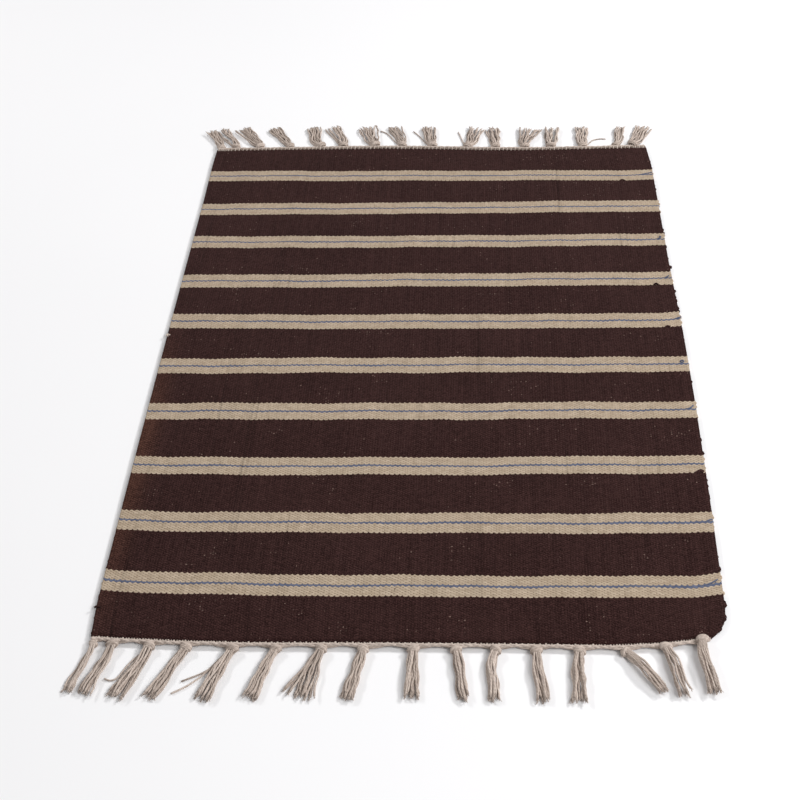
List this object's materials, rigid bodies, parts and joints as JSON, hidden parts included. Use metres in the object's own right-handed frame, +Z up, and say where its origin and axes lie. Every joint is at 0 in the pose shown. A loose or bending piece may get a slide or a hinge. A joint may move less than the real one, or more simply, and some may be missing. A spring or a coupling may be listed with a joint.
{
  "type": "flat-woven rug",
  "caption": "Flat-woven rectangular floor rug with broad dark bands, narrow pale stripes with a fine line along each, and a knotted warp fringe at both ends.",
  "frame": {"origin": "centre of the woven field's underside, where it lies on the floor", "axes": "+Y along the warps towards the far end, +X along the wefts to the right, +Z up from the floor"},
  "size_m": [0.6294, 1.044, 0.0094],
  "materials": {
    "striped_cloth": "matt weft-faced plain weave, dark brown bands and cream stripes with a blue line",
    "warp_fringe": "matt undyed cotton yarn"
  },
  "bodies": {
    "root": {"woven_field": "striped_cloth", "near_fringe": "warp_fringe", "far_fringe": "warp_fringe"}
  },
  "joints": []
}
